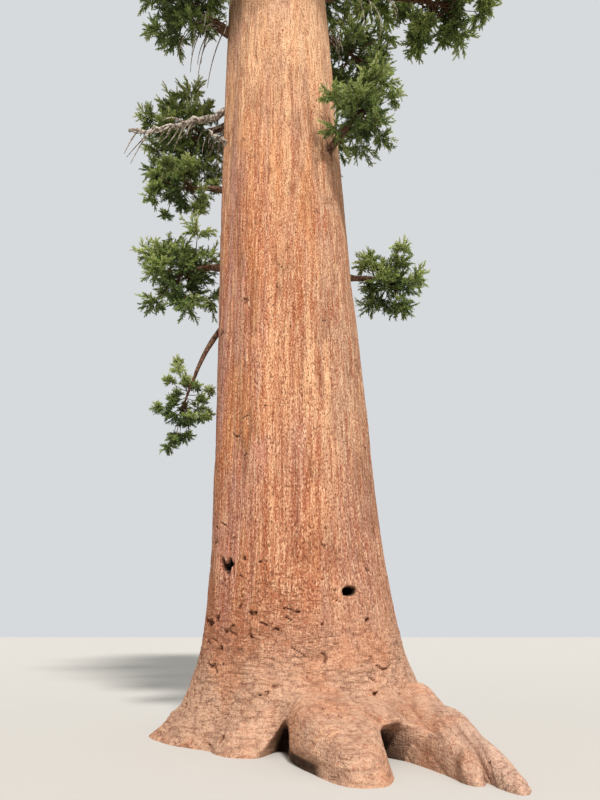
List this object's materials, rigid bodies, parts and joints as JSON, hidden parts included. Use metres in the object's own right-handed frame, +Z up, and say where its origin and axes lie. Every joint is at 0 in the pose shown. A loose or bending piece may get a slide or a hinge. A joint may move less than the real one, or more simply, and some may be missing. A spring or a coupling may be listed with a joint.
{
  "type": "giant sequoia tree",
  "caption": "Towering conifer rooted in level ground: a furrowed, flared trunk with a burl at its foot, tapering boughs, dead limbs and a tall round-topped crown of needle masses.",
  "frame": {"origin": "on the flat cut under the trunk, at ground level", "axes": "+Z up along the trunk, -Y towards the side with the burl, +X to the right of that side"},
  "size_m": [9.0481, 8.8389, 40],
  "materials": {
    "bark": "thick fibrous cinnamon bark in long upright furrows, paler and crinkled on the flare",
    "limb_bark": "rough scaly red-brown bark on boughs and twigs",
    "dead_wood": "bare weathered grey wood",
    "foliage": "matt olive to dark green sprays of short needles"
  },
  "bodies": {
    "root": {"bough_crown_01": "limb_bark", "bough_crown_02": "limb_bark", "bough_crown_03": "limb_bark", "bough_crown_04": "limb_bark", "bough_crown_05": "limb_bark", "bough_crown_06": "limb_bark", "bough_crown_07": "limb_bark", "bough_crown_08": "limb_bark", "bough_crown_09": "limb_bark", "bough_crown_10": "limb_bark", "bough_crown_11": "limb_bark", "bough_crown_12": "limb_bark", "bough_left_bright": "limb_bark", "bough_left_drooping": "limb_bark", "bough_left_rear_lower": "limb_bark", "bough_left_rear_middle": "limb_bark", "bough_left_rear_upper": "limb_bark", "bough_rear_lower": "limb_bark", "bough_rear_upper": "limb_bark", "bough_right_dark": "limb_bark", "bough_right_front": "limb_bark", "bough_right_reach": "limb_bark", "bough_right_rear_lower": "limb_bark", "dead_limb_left": "dead_wood", "dead_limb_left_stub": "dead_wood", "foliage_crown_01": "foliage", "foliage_crown_02": "foliage", "foliage_crown_03": "foliage", "foliage_crown_04": "foliage", "foliage_crown_05": "foliage", "foliage_crown_06": "foliage", "foliage_crown_07": "foliage", "foliage_crown_08": "foliage", "foliage_crown_09": "foliage", "foliage_crown_10": "foliage", "foliage_crown_11": "foliage", "foliage_crown_12": "foliage", "foliage_crown_13": "foliage", "foliage_crown_14": "foliage", "foliage_crown_15": "foliage", "foliage_crown_16": "foliage", "foliage_crown_17": "foliage", "foliage_crown_18": "foliage", "foliage_crown_19": "foliage", "foliage_crown_20": "foliage", "foliage_crown_21": "foliage", "foliage_crown_top": "foliage", "foliage_left_bright": "foliage", "foliage_left_drooping": "foliage", "foliage_left_rear_lower": "foliage", "foliage_left_rear_middle": "foliage", "foliage_left_rear_upper": "foliage", "foliage_rear_lower": "foliage", "foliage_rear_upper": "foliage", "foliage_right_dark": "foliage", "foliage_right_front": "foliage", "foliage_right_reach": "foliage", "foliage_right_rear_lower": "foliage", "trunk": "bark"}
  },
  "joints": []
}
